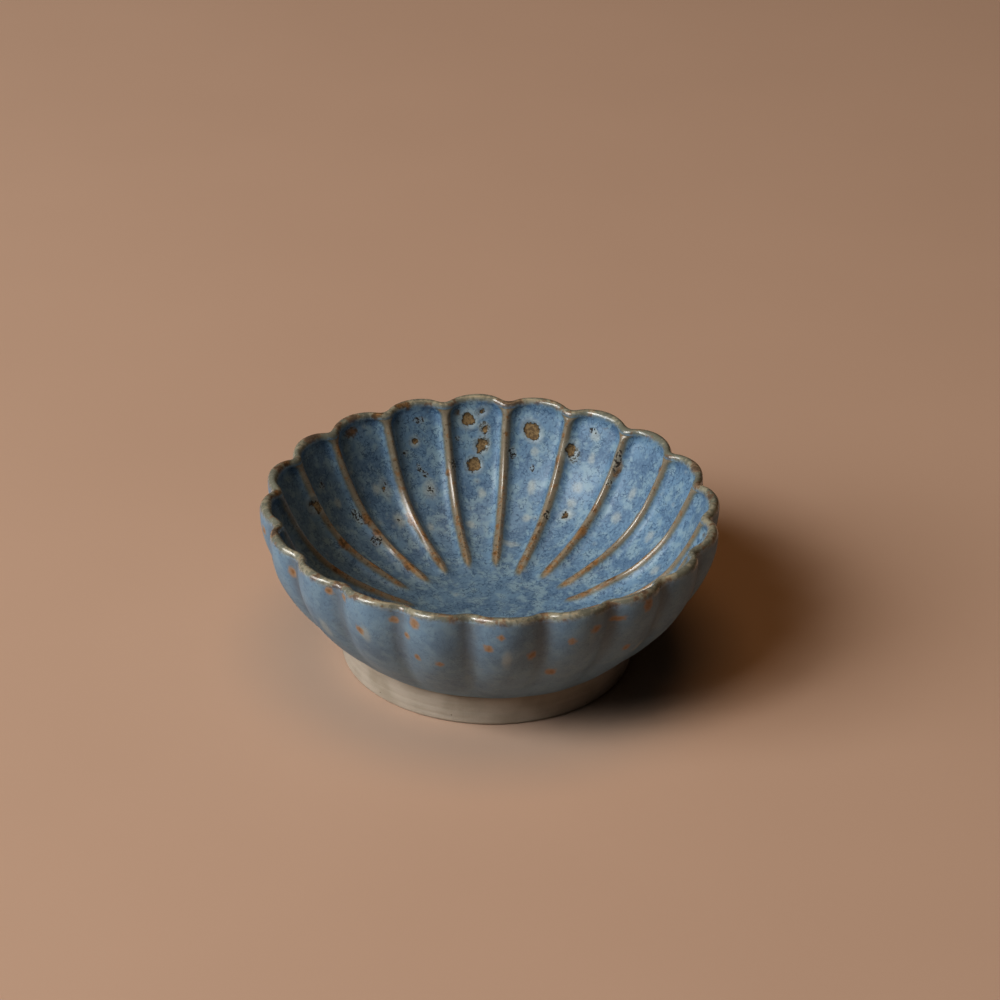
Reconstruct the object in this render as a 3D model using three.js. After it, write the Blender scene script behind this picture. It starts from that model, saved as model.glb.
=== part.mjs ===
// A small stoneware dish in the shape of a chrysanthemum: twenty petals round the rim, a raised
// ridge inside between each two petals, a soft groove outside behind each ridge, and a bare foot.
// Millimetres, +Z up. The origin is the middle of the foot, level with the table.
import * as THREE from 'three';
import { mergeVertices } from 'three/addons/utils/BufferGeometryUtils.js';

// Overall size
const PETALS = 20;
const RIM_RADIUS = 45; // axis to the outside of a petal at the rim
const HEIGHT = 33.5; // table to the top of the rim

// Foot ring
const FOOT_RADIUS = 28.8; // axis to the outside of the bare foot
const FOOT_WIDTH = 5.2; // across the foot, from its outside to its inside
const FOOT_HEIGHT = 6.4; // table to the glaze line, outside
const FOOT_CHAMFER = 0.5; // broken edges of the face that stands on the table
const RECESS_DEPTH = 4.4; // table to the underside of the bowl, within the foot

// Bowl
const GLAZE = 0.45; // thickness of the glaze
const HAIRLINE = 0.03; // left between glaze and clay, so that they stay two solids
const FLOOR_THICKNESS = 2.6; // middle of the bowl, glaze included
const RIM_THICKNESS = 2.7; // wall at the rim, glaze included
const RIM_ROUNDING = 1.3; // height of the rim's rounded edge
const WELL_SPREAD = 35.2; // pull of the level floor on the well's curve, from the axis outwards
const WALL_LEAN = 5.6; // the wall's end leans out by this much ...
const WALL_RISE = 10.6; // ... over this much height
const OUTSIDE_FULLNESS = 2; // power of the outer curve: 1 is a straight cone

// Petals, grooves and ridges
const NOTCH_DEPTH = 1.9; // groove between two petals, at the rim
const NOTCH_POWER = 1.9; // roundness of a petal's outside, across it
const NOTCH_DROP = 0.6; // how much lower the rim is at a notch
const GROOVE_FADE = 2; // power by which the grooves die out towards the foot
const RIDGE_HEIGHT = 1.4; // ridge over the petals beside it
const SCOOP_POWER = 2.3; // hollowness of a petal's inside, across it
const RIDGE_START = 14; // axis to where the ridges begin to rise from the floor
const RIDGE_FULL = 26; // axis to where they have their full height
const RIDGE_FLARE = 8; // power by which a ridge turns into the rim's inner band
const BAND_HEIGHT = 1.25; // band inside the rim, over the hollow of a petal
const BAND_NOTCH = 1.1; // how much further in the band reaches at a notch
const ARCH_RISE = 3.2; // height over which a petal's hollow closes in a round arch
const ARCH_GAP = 0.4; // from the top of the arch to the shoulder
const ARCH_POWER = 2.4; // roundness of the arch

// Fineness of the surfaces
const STEPS_PER_PETAL = 6;
const WELL_STEPS = 8;
const WELL_CROWDING = 0.85; // below 1 moves the well's steps from the floor to the wall
const ARCH_START = 0.85; // share of the way up the well where the finer steps begin
const ARCH_STEPS = 4;
const RIM_STEPS = 4;
const OUTSIDE_STEPS = 6;

const COLUMNS = PETALS * STEPS_PER_PETAL;
const FLOOR_TOP = RECESS_DEPTH + FLOOR_THICKNESS;
const SHOULDER = HEIGHT - RIM_ROUNDING; // where the rim's rounding begins
const WELL_RADIUS = RIM_RADIUS - RIM_THICKNESS + BAND_HEIGHT; // bottom of a hollow, at the shoulder
const GLAZE_LINE_RADIUS = FOOT_RADIUS + HAIRLINE + GLAZE;

const glazeFinish = new THREE.MeshStandardMaterial({ color: 0x5f83ad, roughness: 0.3, metalness: 0 });
const clayFinish = new THREE.MeshStandardMaterial({ color: 0x8c7560, roughness: 0.85, metalness: 0 });
const footFinish = new THREE.MeshStandardMaterial({ color: 0xa79c8b, roughness: 0.9, metalness: 0 });

// How far a column of the surface is from the middle of its petal: 0 there, 1 at the notch.
function offMiddle(column) {
  const step = column % STEPS_PER_PETAL;
  return (2 * Math.min(step, STEPS_PER_PETAL - step)) / STEPS_PER_PETAL;
}

// Middle line of a petal's inside, from the middle of the floor to the shoulder of the rim.
const petalLine = new THREE.CubicBezierCurve(
  new THREE.Vector2(0, FLOOR_TOP),
  new THREE.Vector2(WELL_SPREAD, FLOOR_TOP),
  new THREE.Vector2(WELL_RADIUS - WALL_LEAN, SHOULDER - WALL_RISE),
  new THREE.Vector2(WELL_RADIUS, SHOULDER),
);

// How deep a scalloped edge lies at a column: 0 at the middle of its petal, 1 at the notch.
function scallop(off) {
  return off ** NOTCH_POWER;
}

// How much lower the rim is at a column than at the middle of its petal.
function dropAt(off) {
  return NOTCH_DROP * scallop(off);
}

// Share of a ridge's height that a column has, so far below the shoulder. Below the rim the hollow
// of a petal closes in a round arch, and the band over it stands level with the ridges.
function ridgeShare(off, below) {
  const arch = Math.max(0, (ARCH_RISE + ARCH_GAP - below) / ARCH_RISE);
  const closed = (off ** ARCH_POWER + arch ** ARCH_POWER) ** (1 / ARCH_POWER);
  return Math.min(1, closed) ** SCOOP_POWER;
}

// Inside of the well at a share of the way from the floor's middle to the shoulder. Towards a
// notch the surface stands over the petal's middle line, as a ridge. At the shoulder it reaches the
// inner edge of the rim, which is scalloped less than the outer one.
function wellPoint(share, off) {
  const point = petalLine.getPoint(share);
  const along = petalLine.getTangent(share);
  const grown = THREE.MathUtils.smoothstep(point.x, RIDGE_START, RIDGE_FULL);
  const flare = share ** RIDGE_FLARE;
  const band = (BAND_HEIGHT + BAND_NOTCH * scallop(off)) / along.y;
  const crest = THREE.MathUtils.lerp(RIDGE_HEIGHT, band, flare);
  const height = grown * crest * ridgeShare(off, SHOULDER - point.y);
  const radius = point.x - along.y * height;
  return new THREE.Vector2(radius, point.y + along.x * height * (1 - flare) - dropAt(off) * flare);
}

// Outside of the bowl at a share of the way from the rim's shoulder down to the glaze line.
function outsidePoint(share, off) {
  const belly = (RIM_RADIUS - GLAZE_LINE_RADIUS) * (1 - share ** OUTSIDE_FULLNESS);
  const groove = NOTCH_DEPTH * (1 - share ** GROOVE_FADE) * scallop(off);
  const level = THREE.MathUtils.lerp(SHOULDER - dropAt(off), FOOT_HEIGHT, share);
  return new THREE.Vector2(GLAZE_LINE_RADIUS + belly - groove, level);
}

// Rounded edge of the rim: half an ellipse from the inner shoulder over to the outer one.
function rimPoint(share, inner, outer) {
  const turn = share * Math.PI;
  const middle = (inner.x + outer.x) / 2;
  const reach = (outer.x - inner.x) / 2;
  const rise = RIM_ROUNDING * Math.sin(turn);
  return new THREE.Vector2(middle - reach * Math.cos(turn), outer.y + rise);
}

// Upright section of the glazed surface at one column, from the floor's middle over the rim and
// down to the glaze line, as radius and height.
function section(off) {
  const line = [];
  for (let step = 0; step < WELL_STEPS; step += 1) {
    line.push(wellPoint(ARCH_START * (step / WELL_STEPS) ** WELL_CROWDING, off));
  }
  for (let step = 0; step <= ARCH_STEPS; step += 1) {
    line.push(wellPoint(THREE.MathUtils.lerp(ARCH_START, 1, step / ARCH_STEPS), off));
  }
  const inner = line.at(-1);
  const outer = outsidePoint(0, off);
  for (let step = 1; step < RIM_STEPS; step += 1) {
    line.push(rimPoint(step / RIM_STEPS, inner, outer));
  }
  for (let step = 0; step <= OUTSIDE_STEPS; step += 1) {
    line.push(outsidePoint(step / OUTSIDE_STEPS, off));
  }
  return line;
}

// The same section sunk below the glazed surface, square to it. At the floor's middle it sinks
// straight down, and at the glaze line straight in, onto the outside of the foot.
function sunkSection(off, depth) {
  const line = section(off);
  const last = line.length - 1;
  return line.map((point, index) => {
    if (index === 0) return new THREE.Vector2(0, point.y - depth);
    if (index === last) return new THREE.Vector2(point.x - depth, point.y);
    const along = line[index + 1].clone().sub(line[index - 1]).normalize();
    return new THREE.Vector2(point.x + along.y * depth, point.y - along.x * depth);
  });
}

function pointAt(radius, height, column) {
  const turn = (2 * Math.PI * column) / COLUMNS;
  return new THREE.Vector3(radius * Math.cos(turn), radius * Math.sin(turn), height);
}

// A ring of points, one at each column. shape gives the radius and height of a column's point.
function ring(shape) {
  const points = [];
  for (let column = 0; column < COLUMNS; column += 1) {
    const { x, y } = shape(column);
    points.push(pointAt(x, y, column));
  }
  return points;
}

function levelRing(radius, height) {
  return ring(() => new THREE.Vector2(radius, height));
}

// Rings of the skin of the bowl, sunk below the glazed surface, from the floor's middle to the
// glaze line. The first is the middle itself, a single point.
function skinRings(depth) {
  const sections = [];
  for (let step = 0; step < STEPS_PER_PETAL; step += 1) {
    sections.push(sunkSection(offMiddle(step), depth));
  }
  const rings = [[pointAt(0, sections[0][0].y, 0)]];
  for (let index = 1; index < sections[0].length; index += 1) {
    rings.push(ring((column) => sections[column % STEPS_PER_PETAL][index]));
  }
  return rings;
}

// Triangles of the surface between two rings. Their slanting edges mirror about each petal.
function stitch(first, second, triangles) {
  for (let column = 0; column < COLUMNS; column += 1) {
    const next = (column + 1) % COLUMNS;
    if (first.length === 1) {
      triangles.push([first[0], second[column], second[next]]);
    } else if (column % STEPS_PER_PETAL < STEPS_PER_PETAL / 2) {
      triangles.push([first[column], second[column], second[next]]);
      triangles.push([first[column], second[next], first[next]]);
    } else {
      triangles.push([first[column], second[column], first[next]]);
      triangles.push([first[next], second[column], second[next]]);
    }
  }
}

function sheet(rings) {
  const triangles = [];
  for (let index = 1; index < rings.length; index += 1) {
    stitch(rings[index - 1], rings[index], triangles);
  }
  return triangles;
}

function turnedOver(triangles) {
  return triangles.map(([a, b, c]) => [a, c, b]);
}

function closedBody(triangles) {
  const numbers = triangles.flat().flatMap((point) => point.toArray());
  const loose = new THREE.BufferGeometry();
  loose.setAttribute('position', new THREE.Float32BufferAttribute(numbers, 3));
  const geometry = mergeVertices(loose);
  geometry.computeVertexNormals();
  return geometry;
}

const glazedSurface = skinRings(0);
const glazeBack = skinRings(GLAZE);
const claySurface = skinRings(GLAZE + HAIRLINE);

// The seat that bowl and foot share: a shallow cone from the glaze line to the recess.
const footInside = FOOT_RADIUS - FOOT_WIDTH;
const seatOutside = claySurface.at(-1);
const seatInside = levelRing(footInside, RECESS_DEPTH);

// Fired clay of the bowl, under the glaze, with a flat underside within the foot.
function clayBowl() {
  const underside = [[pointAt(0, RECESS_DEPTH, 0)], seatInside, seatOutside];
  return closedBody([...sheet(claySurface), ...turnedOver(sheet(underside))]);
}

// Glaze over the inside, the rim and the outside, down to the glaze line. Its back follows the
// clay.
function glazeCoat() {
  const edge = sheet([glazedSurface.at(-1), glazeBack.at(-1)]);
  return closedBody([...sheet(glazedSurface), ...edge, ...turnedOver(sheet(glazeBack))]);
}

// Bare foot, luted under the bowl, with both edges of its standing face broken.
function footRing() {
  const rings = [
    seatInside,
    seatOutside,
    levelRing(FOOT_RADIUS, FOOT_CHAMFER),
    levelRing(FOOT_RADIUS - FOOT_CHAMFER, 0),
    levelRing(footInside + FOOT_CHAMFER, 0),
    levelRing(footInside, FOOT_CHAMFER),
    seatInside,
  ];
  return closedBody(sheet(rings));
}

function piece(name, geometry, material) {
  const mesh = new THREE.Mesh(geometry, material);
  mesh.name = name;
  return mesh;
}

const dish = new THREE.Group();
dish.add(
  piece('clay_bowl', clayBowl(), clayFinish),
  piece('foot_ring', footRing(), footFinish),
  piece('glaze_coat', glazeCoat(), glazeFinish),
);

export default dish;
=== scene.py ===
"""Looks of a small stoneware dish in the shape of a chrysanthemum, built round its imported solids.

The dish is three pieces: a blue glaze over the bowl, the clay bowl under it, and the bare foot.
Lengths are in metres, +Z is up, and petals are numbered round from +X, so that petal 5 is at +Y.
"""
import logging
import math
from dataclasses import dataclass
from enum import Enum

import bpy
import numpy as np
from mathutils import Matrix, Vector


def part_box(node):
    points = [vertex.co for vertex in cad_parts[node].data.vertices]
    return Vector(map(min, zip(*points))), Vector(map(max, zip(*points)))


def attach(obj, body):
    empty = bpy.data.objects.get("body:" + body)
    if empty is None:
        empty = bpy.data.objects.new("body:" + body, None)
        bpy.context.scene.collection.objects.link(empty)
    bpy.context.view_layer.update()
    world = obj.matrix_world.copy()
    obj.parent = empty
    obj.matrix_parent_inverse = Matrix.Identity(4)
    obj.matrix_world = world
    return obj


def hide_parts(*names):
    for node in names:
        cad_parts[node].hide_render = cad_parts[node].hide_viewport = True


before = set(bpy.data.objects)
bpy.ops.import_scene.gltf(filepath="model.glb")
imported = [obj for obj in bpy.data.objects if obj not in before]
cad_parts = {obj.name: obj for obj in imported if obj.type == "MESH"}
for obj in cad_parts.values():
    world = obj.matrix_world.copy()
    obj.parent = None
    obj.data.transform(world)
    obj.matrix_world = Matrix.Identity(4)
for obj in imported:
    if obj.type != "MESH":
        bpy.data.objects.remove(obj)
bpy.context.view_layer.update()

MM = 0.001
PETALS = 20
SEED = 20
FAR = 1.0  # more than the dish is wide

Colour = tuple[float, float, float]
Place = tuple[float, float, float]
Array = np.ndarray

log = logging.getLogger("dish")


def smoothstep(value: Array, low: Array | float, high: Array | float) -> Array:
    """Rise smoothly from 0 to 1.

    Args:
        value: What is looked at.
        low: Where the rise begins.
        high: Where it ends.

    Returns:
        The height of the rise at each value.
    """
    share = np.clip((value - low) / (high - low), 0.0, 1.0)
    return share * share * (3.0 - 2.0 * share)


def blended(first: Array | float, second: Array | float, share: Array | float) -> Array:
    """Mix two values.

    Args:
        first: The value at share 0.
        second: The value at share 1.
        share: The part that the second value has.

    Returns:
        The mixed value.
    """
    return first + (second - first) * share


def scallop(off: Array, power: float, rounding: Array | float) -> Array:
    """Depth of a scalloped edge across a petal, with its cusp rounded off.

    Args:
        off: Distance from the petal's middle, 1 at the notch.
        power: How hollow the scallop is.
        rounding: How widely the cusp at the notch is rounded.

    Returns:
        The depth, 0 at the petal's middle and 1 at the notch.
    """
    near, far = off**power, (2.0 - off) ** power
    overlap = np.clip(rounding - np.abs(near - far), 0.0, None)
    return (np.minimum(near, far) - overlap**2 / (4.0 * rounding)) / (1.0 - rounding / 4.0)


@dataclass(frozen=True)
class Grain:
    """A cloudy pattern in the solid of a piece."""

    size: float  # of its clouds, millimetres
    detail: float = 3.0  # how many finer layers it has
    shift: float = 0.0  # moves the pattern, so that two patterns differ
    roughness: float = 0.5  # how strong the finer layers are
    stretch: Place = (1.0, 1.0, 1.0)  # below 1 it is drawn out along that axis


@dataclass(frozen=True)
class Ramp:
    """How a layer sets in. It may begin above its end, which turns the rise over."""

    low: float  # where it begins
    high: float  # where it is full
    cover: float = 1.0  # how much it then covers


class Wire:
    """A socket of a material's nodes that takes part in Python arithmetic."""

    def __init__(self, bench: "Bench", socket: bpy.types.NodeSocket) -> None:
        """Hold the socket and the bench that its nodes stand on."""
        self.bench = bench
        self.socket = socket

    def __add__(self, other: "Wire | float") -> "Wire":
        """Sum of two values."""
        return self.bench.maths("ADD", self, other)

    def __sub__(self, other: "Wire | float") -> "Wire":
        """Difference of two values."""
        return self.bench.maths("SUBTRACT", self, other)

    def __rsub__(self, other: float) -> "Wire":
        """Difference of a number and this value."""
        return self.bench.maths("SUBTRACT", other, self)

    def __mul__(self, other: "Wire | float") -> "Wire":
        """Product of two values."""
        return self.bench.maths("MULTIPLY", self, other)

    __radd__ = __add__
    __rmul__ = __mul__


class Bench:
    """The node tree of one material, and the ways to add to it."""

    def __init__(self, name: str) -> None:
        """Start a material that holds only its output node."""
        self.material = bpy.data.materials.new(name)
        self.material.use_nodes = True
        self.nodes = self.material.node_tree.nodes
        self.links = self.material.node_tree.links
        self.nodes.clear()

    def node(
        self, kind: str, settings: dict | None = None, sockets: dict | None = None
    ) -> bpy.types.Node:
        """Add a node.

        Args:
            kind: The node's type, as Blender names it.
            settings: Values of the node itself, set first.
            sockets: Values or wires of its inputs, by identifier or name.

        Returns:
            The node.
        """
        made = self.nodes.new(kind)
        for key, value in (settings or {}).items():
            setattr(made, key, value)
        for key, value in (sockets or {}).items():
            entry = next((s for s in made.inputs if s.identifier == key), None) or made.inputs[key]
            if isinstance(value, Wire):
                self.links.new(value.socket, entry)
            else:
                entry.default_value = value
        return made

    def wire(self, node: bpy.types.Node, output: str) -> Wire:
        """Wrap one output of a node, by identifier or name."""
        found = next((s for s in node.outputs if s.identifier == output), None)
        return Wire(self, found or node.outputs[output])

    def maths(self, operation: str, *values: Wire | float) -> Wire:
        """Work one operation out on values.

        Args:
            operation: The operation, as the Math node names it.
            values: Wires or numbers that it takes.

        Returns:
            The result.
        """
        entries = dict(zip(("Value", "Value_001"), values))
        made = self.node("ShaderNodeMath", {"operation": operation}, entries)
        return self.wire(made, "Value")

    def rise(self, value: Wire, ramp: Ramp) -> Wire:
        """Rise smoothly from 0 to what a layer covers.

        Args:
            value: What is looked at.
            ramp: Where the rise begins and ends, and how high it goes.

        Returns:
            The height of the rise.
        """
        low, high = sorted((ramp.low, ramp.high))
        made = self.node(
            "ShaderNodeMapRange",
            {"interpolation_type": "SMOOTHSTEP"},
            {"Value": value, "From Min": low, "From Max": high},
        )
        rise = self.wire(made, "Result")
        return (1.0 - rise if ramp.low > ramp.high else rise) * ramp.cover

    def mix(self, first: Wire | Colour, second: Wire | Colour, share: Wire | float) -> Wire:
        """Mix two colours.

        Args:
            first: The colour at share 0.
            second: The colour at share 1.
            share: The part that the second colour has.

        Returns:
            The mixed colour.
        """
        ends = {
            key: value if isinstance(value, Wire) else (*value, 1.0)
            for key, value in (("A_Color", first), ("B_Color", second))
        }
        made = self.node("ShaderNodeMix", {"data_type": "RGBA"}, {"Factor_Float": share, **ends})
        return self.wire(made, "Result_Color")

    def lay(self, colour: Wire | Colour, tone: Wire | Colour, value: Wire, ramp: Ramp) -> Wire:
        """Lay a tone over a colour as far as a value rises."""
        return self.mix(colour, tone, self.rise(value, ramp))

    def field(self, name: str) -> Wire:
        """A value that the mesh holds at its vertices."""
        return self.wire(self.node("ShaderNodeAttribute", {"attribute_name": name}), "Fac")

    def place(self, shift: float = 0.0, stretch: Place = (1.0, 1.0, 1.0)) -> Wire:
        """Where a point of the piece is, in millimetres.

        Args:
            shift: How far a pattern is moved, as a grain has it.
            stretch: How a pattern is drawn out, as a grain has it.

        Returns:
            The place, as a vector.
        """
        spot = self.wire(self.node("ShaderNodeTexCoord"), "Object")
        factor = tuple(part / MM for part in stretch)
        made = self.node(
            "ShaderNodeVectorMath",
            {"operation": "MULTIPLY_ADD"},
            {"Vector": spot, "Vector_001": factor, "Vector_002": (shift, shift, shift)},
        )
        return self.wire(made, "Vector")

    def height(self) -> Wire:
        """Height of a point over the table, in millimetres."""
        return self.wire(self.node("ShaderNodeSeparateXYZ", {}, {"Vector": self.place()}), "Z")

    def noise(self, grain: Grain) -> Wire:
        """Cloudy noise from 0 to 1.

        Args:
            grain: The pattern.

        Returns:
            The noise.
        """
        entries = {
            "Vector": self.place(grain.shift, grain.stretch),
            "Scale": 1.0 / grain.size,
            "Detail": grain.detail,
            "Roughness": grain.roughness,
        }
        made = self.node("ShaderNodeTexNoise", {"noise_dimensions": "3D"}, entries)
        return self.wire(made, "Fac")

    def swing(self, grain: Grain) -> Wire:
        """The same noise from -0.5 to 0.5."""
        return self.noise(grain) - 0.5

    def vein(self, grain: Grain) -> Wire:
        """How far the noise is from its middle, which draws winding lines."""
        return self.maths("ABSOLUTE", self.swing(grain))

    def dots(self, size: float, shift: float) -> tuple[Wire, Wire]:
        """Scattered dots.

        Args:
            size: Mean distance between dots, in millimetres.
            shift: Moves the pattern, so that two patterns differ.

        Returns:
            The distance to the nearest dot, in millimetres, and a number from 0 to 1 of its own.
        """
        made = self.node(
            "ShaderNodeTexVoronoi",
            {"voronoi_dimensions": "3D", "feature": "F1"},
            {"Vector": self.place(shift), "Scale": 1.0 / size},
        )
        number = self.node("ShaderNodeSeparateColor", {}, {"Color": self.wire(made, "Color")})
        return self.wire(made, "Distance") * size, self.wire(number, "Red")

    def relief(self, height: Wire, distance: float) -> Wire:
        """Fine relief for a shader's normal.

        Args:
            height: Height of the relief, from 0 to 1.
            distance: Depth of the relief, in metres.

        Returns:
            The normal.
        """
        made = self.node("ShaderNodeBump", {}, {"Height": height, "Distance": distance})
        return self.wire(made, "Normal")

    def finish(self, sockets: dict) -> bpy.types.Material:
        """End the material with its shader.

        Args:
            sockets: Values or wires of the shader's inputs.

        Returns:
            The material.
        """
        shader = self.node("ShaderNodeBsdfPrincipled", {}, sockets)
        self.node("ShaderNodeOutputMaterial", {}, {"Surface": self.wire(shader, "BSDF")})
        return self.material


@dataclass(frozen=True)
class Ground:
    """What all layers of the glaze read."""

    bench: Bench
    wobble: Wire  # makes every edge uneven
    drift: Wire  # slow changes of tone
    fleck: Wire  # fine mottling
    inside: Wire  # 1 in the well and on the rim, 0 outside


@dataclass(frozen=True)
class BlueGlaze:
    """Mottled blue glaze that breaks to taupe where it is thin, with iron spots and bare places."""

    ink: Colour = (0.060, 0.120, 0.205)
    deep: Colour = (0.118, 0.202, 0.310)
    middle: Colour = (0.188, 0.306, 0.428)
    pale: Colour = (0.272, 0.390, 0.464)
    cloud: Colour = (0.470, 0.510, 0.475)
    moss: Colour = (0.190, 0.190, 0.140)
    taupe: Colour = (0.280, 0.238, 0.175)
    beige: Colour = (0.365, 0.340, 0.245)
    brown: Colour = (0.115, 0.075, 0.040)
    amber: Colour = (0.420, 0.265, 0.135)
    rust: Colour = (0.290, 0.155, 0.060)
    iron: Colour = (0.030, 0.023, 0.017)
    bare: Colour = (0.285, 0.205, 0.105)

    edge: Grain = Grain(0.8)
    drift: Grain = Grain(6.0, detail=2.0)
    fleck: Grain = Grain(0.6, shift=3.0)
    sand: Grain = Grain(0.35, detail=2.0)
    curl: Grain = Grain(1.15, detail=2.0, shift=17.0)
    curl_patch: Grain = Grain(1.7, detail=1.0, shift=29.0)
    stroke: Grain = Grain(0.56, detail=1.0, shift=31.0)
    stroke_patch: Grain = Grain(0.50, detail=1.0, shift=37.0)
    veil: Grain = Grain(2.4, detail=4.0, shift=41.0)
    lump: Grain = Grain(1.5, detail=1.0, shift=47.0)
    rag: Grain = Grain(0.42, detail=4.0, shift=53.0, roughness=0.7)
    outline_patch: Grain = Grain(0.9, shift=61.0)
    freckle: Grain = Grain(1.2, shift=71.0)
    ridge_speck: Grain = Grain(0.60, detail=2.0, shift=83.0)
    rim_patch: Grain = Grain(3.4, shift=97.0)
    rust_speck: Grain = Grain(0.7, detail=2.0, shift=101.0)
    hole_gap: float = 2.9  # between lone pinholes, before most are left out, millimetres
    hole_share: float = 0.80  # the part of them that is left out

    soft: float = 0.35  # how much of the mottling shows outside, 1 for as much as in the well
    satin: float = 0.46  # roughness of the thick glaze
    thin_gloss: float = 0.20  # how much smoother it is where it is thin
    dull: float = 0.80  # roughness of bare clay and of pinholes
    coat: float = 0.06
    thin_coat: float = 0.56  # how much more coat it has where it is thin
    relief: float = 0.10 * MM  # depth of its fine relief

    def material(self) -> bpy.types.Material:
        """Build the material.

        Returns:
            The material of the glaze.
        """
        bench = Bench("blue_glaze")
        on = Ground(
            bench,
            bench.swing(self.edge),
            bench.noise(self.drift),
            bench.noise(self.fleck),
            bench.field("inside"),
        )
        thin = bench.field("thin")
        breaking = thin + on.wobble * 0.22
        glossy = bench.rise(bench.maths("MAXIMUM", breaking, bench.field("rim")), Ramp(0.10, 0.60))

        colour = self._mottled(on)
        colour = self._broken(on, colour, breaking)
        colour = self._rimmed(on, colour)
        colour = self._rusted(on, colour, thin)
        colour, pitted = self._pinholes(on, colour)
        colour, crawled = self._crawled(on, colour)

        dull = bench.maths("MAXIMUM", crawled, pitted)
        roughness = self.satin + 0.16 * (on.fleck - 0.5) - self.thin_gloss * glossy
        grain = on.fleck * 0.5 + bench.noise(self.sand) * 0.3
        return bench.finish(
            {
                "Base Color": colour,
                "Roughness": roughness + (self.dull - roughness) * dull,
                "IOR": 1.40,
                "Coat Weight": (1.0 - dull) * (self.coat + self.thin_coat * glossy),
                "Coat Roughness": 0.15,
                "Normal": bench.relief(grain * (1.0 - glossy * 0.6) - dull * 0.8, self.relief),
            }
        )

    def _mottled(self, on: Ground) -> Wire:
        """Blue of a thick glaze: slow drifts, a pale veil, and short dark-blue curls in it.

        Args:
            on: What all layers read.

        Returns:
            The colour.
        """
        bench = on.bench
        crisp = self.soft + (1.0 - self.soft) * on.inside
        grain = (on.fleck - 0.5) * crisp * 0.75
        body = bench.rise(grain * 0.6 + on.drift * 0.5, Ramp(0.12, 0.34))
        colour = bench.mix(self.deep, self.middle, body)
        veil = bench.noise(self.veil)
        milk = bench.rise(veil + grain * 0.35, Ramp(0.45, 0.66, 0.85)) * crisp
        colour = bench.mix(colour, self.pale, milk + (1.0 - crisp) * 0.45)
        curls = bench.rise(bench.vein(self.curl), Ramp(0.042, 0.008, 0.78))
        curls = curls * bench.rise(bench.noise(self.curl_patch), Ramp(0.39, 0.52))
        colour = bench.mix(colour, self.ink, curls * crisp)
        cloudy = bench.field("pale") + grain * 0.6 + (veil - 0.5) * 0.5
        return bench.lay(colour, self.cloud, cloudy, Ramp(0.20, 1.25, 0.60))

    def _broken(self, on: Ground, colour: Wire, breaking: Wire) -> Wire:
        """Lay the tones of a thin glaze over the ridges, and a darker brown into the outside grooves,
        which is partly the glaze's own tone and partly painted shade.

        Args:
            on: What all layers read.
            colour: The colour so far.
            breaking: How thin the glaze is.

        Returns:
            The new colour.
        """
        bench = on.bench
        # Darker brown in the outside grooves, fading towards the foot: partly the glaze's own tone,
        # partly painted shade.
        groove = bench.field("groove") + on.wobble * 0.3
        colour = bench.lay(colour, self.brown, groove, Ramp(0.35, 1.20, 0.42))
        colour = bench.lay(colour, self.moss, breaking, Ramp(0.20, 0.58, 0.85))
        low = bench.rise(bench.height(), Ramp(24.0, 10.0))
        freckles = bench.rise(bench.noise(self.freckle) + low * 0.06, Ramp(0.57, 0.66, 0.72))
        tone = bench.mix(self.taupe, self.rust, freckles)
        specks = bench.rise(bench.noise(self.ridge_speck) + low * 0.04, Ramp(0.61, 0.69, 0.65))
        tone = bench.mix(tone, self.brown, specks)
        return bench.lay(colour, tone, breaking, Ramp(0.42, 0.76, 0.92))

    def _rimmed(self, on: Ground, colour: Wire) -> Wire:
        """Let the glaze break to beige over the rim, with brown patches.

        Args:
            on: What all layers read.
            colour: The colour so far.

        Returns:
            The new colour.
        """
        bench = on.bench
        patch = bench.noise(self.rim_patch) + on.wobble * 0.3
        tone = bench.lay(self.beige, self.moss, on.drift + on.wobble, Ramp(0.32, 0.56, 0.90))
        tone = bench.lay(tone, self.rust, patch, Ramp(0.53, 0.60, 0.60))
        tone = bench.lay(tone, self.brown, patch, Ramp(0.58, 0.68, 0.75))
        edge = bench.field("rim") + on.wobble * 0.6
        return bench.lay(colour, tone, edge, Ramp(0.20, 0.80, 0.90))

    def _rusted(self, on: Ground, colour: Wire, thin: Wire) -> Wire:
        """Add iron spots, soft at their edge, darker in the middle, and specked on the ridges.

        Args:
            on: What all layers read.
            colour: The colour so far.
            thin: Where the ridges are.

        Returns:
            The new colour.
        """
        bench = on.bench
        rust = bench.field("rust") + on.wobble * 0.9
        dark = bench.mix(self.brown, self.rust, 0.30 + bench.rise(thin, Ramp(0.15, 0.50, 0.70)))
        stain = bench.mix(self.amber, dark, on.inside)
        colour = bench.lay(colour, stain, rust, Ramp(0.10, 0.80, 0.72))
        colour = bench.lay(colour, self.rust, rust, Ramp(0.60, 1.05, 0.70))
        specks = bench.rise(bench.noise(self.rust_speck), Ramp(0.49, 0.58, 0.75))
        specks = specks * bench.rise(rust, Ramp(0.15, 0.60)) * on.inside
        colour = bench.mix(colour, self.brown, specks)
        return bench.lay(colour, self.brown, rust, Ramp(0.90, 1.25, 0.60))

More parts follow.
